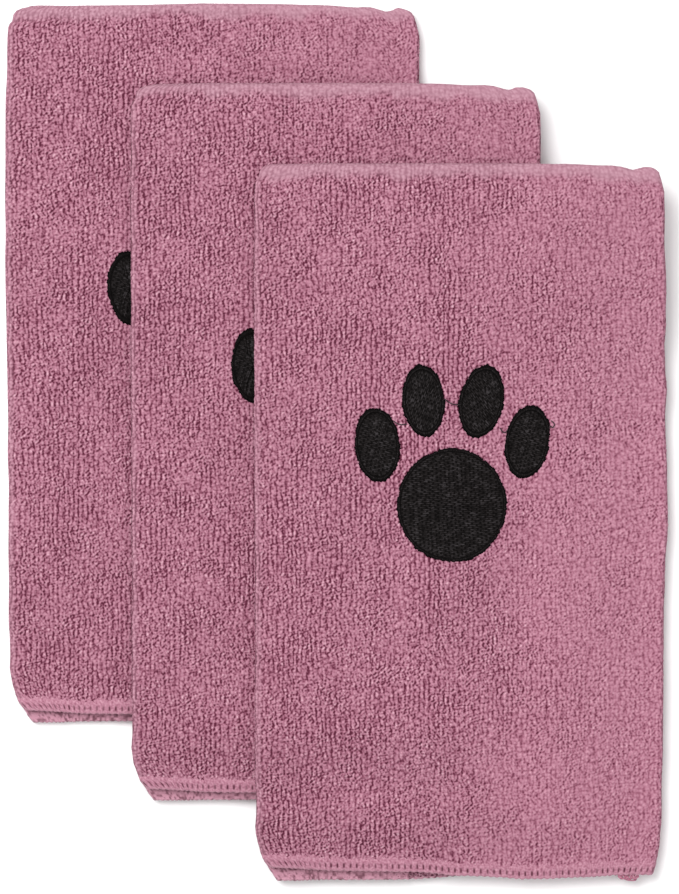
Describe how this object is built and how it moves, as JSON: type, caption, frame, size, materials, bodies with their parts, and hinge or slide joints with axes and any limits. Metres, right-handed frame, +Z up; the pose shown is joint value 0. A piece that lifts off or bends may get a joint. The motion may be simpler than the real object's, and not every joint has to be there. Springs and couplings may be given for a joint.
{
  "type": "set of folded pet towels",
  "caption": "Folded microfibre terry pet towels with overlocked ends and an embroidered paw print, fanned out in a flat stack; each one lifts off and opens at its fold.",
  "frame": {"origin": "on the surface that the set lies on, under the middle of its outline", "axes": "+X across the towels, from the back one towards the front one's side; +Y towards the top folds; +Z up"},
  "size_m": [0.3482, 0.4648, 0.0297],
  "materials": {
    "terry": "looped microfibre terry, dusty pink",
    "hem_thread": "overlock thread, pink, smooth",
    "embroidery_thread": "embroidery thread, near black, slight sheen"
  },
  "bodies": {
    "back_lower": {"back_lower_back_panel": "terry", "back_lower_left_flap": "terry", "back_lower_right_flap": "terry", "back_fold_roll": "terry", "back_lower_side_hems": "hem_thread", "back_lower_end_hem": "hem_thread"},
    "back_upper": {"back_upper_face_panel": "terry", "back_upper_left_flap": "terry", "back_upper_right_flap": "terry", "back_upper_side_hems": "hem_thread", "back_upper_end_hem": "hem_thread", "back_paw_pad": "embroidery_thread", "back_toe_outer_left": "embroidery_thread", "back_toe_inner_left": "embroidery_thread", "back_toe_inner_right": "embroidery_thread", "back_toe_outer_right": "embroidery_thread", "back_jump_threads": "embroidery_thread"},
    "middle_lower": {"middle_lower_back_panel": "terry", "middle_lower_left_flap": "terry", "middle_lower_right_flap": "terry", "middle_fold_roll": "terry", "middle_lower_side_hems": "hem_thread", "middle_lower_end_hem": "hem_thread"},
    "middle_upper": {"middle_upper_face_panel": "terry", "middle_upper_left_flap": "terry", "middle_upper_right_flap": "terry", "middle_upper_side_hems": "hem_thread", "middle_upper_end_hem": "hem_thread", "middle_paw_pad": "embroidery_thread", "middle_toe_outer_left": "embroidery_thread", "middle_toe_inner_left": "embroidery_thread", "middle_toe_inner_right": "embroidery_thread", "middle_toe_outer_right": "embroidery_thread", "middle_jump_threads": "embroidery_thread"},
    "front_lower": {"front_lower_back_panel": "terry", "front_lower_left_flap": "terry", "front_lower_right_flap": "terry", "front_fold_roll": "terry", "front_lower_side_hems": "hem_thread", "front_lower_end_hem": "hem_thread"},
    "front_upper": {"front_upper_face_panel": "terry", "front_upper_left_flap": "terry", "front_upper_right_flap": "terry", "front_upper_side_hems": "hem_thread", "front_upper_end_hem": "hem_thread", "front_paw_pad": "embroidery_thread", "front_toe_outer_left": "embroidery_thread", "front_toe_inner_left": "embroidery_thread", "front_toe_inner_right": "embroidery_thread", "front_toe_outer_right": "embroidery_thread", "front_jump_threads": "embroidery_thread", "front_thread_tail": "hem_thread"}
  },
  "joints": [
    {"name": "back_open", "type": "hinge", "parent": "back_lower", "child": "back_upper", "pos_m": [0, 0.22745, 0.00475], "axis": [1, 0, 0], "range_deg": [-35, 0], "deforming": ["back_fold_roll"]},
    {"name": "middle_lift", "type": "slide", "parent": "back_upper", "child": "middle_lower", "axis": [0, 0, 1], "range_m": [0, 0.08]},
    {"name": "middle_open", "type": "hinge", "parent": "middle_lower", "child": "middle_upper", "pos_m": [0, 0.18575, 0.01475], "axis": [1, 0, 0], "range_deg": [-35, 0], "deforming": ["middle_fold_roll"]},
    {"name": "front_lift", "type": "slide", "parent": "middle_upper", "child": "front_lower", "axis": [0, 0, 1], "range_m": [0, 0.08]},
    {"name": "front_open", "type": "hinge", "parent": "front_lower", "child": "front_upper", "pos_m": [0, 0.14405, 0.02475], "axis": [-1, 0, 0], "range_deg": [0, 180], "deforming": ["front_fold_roll"]}
  ]
}
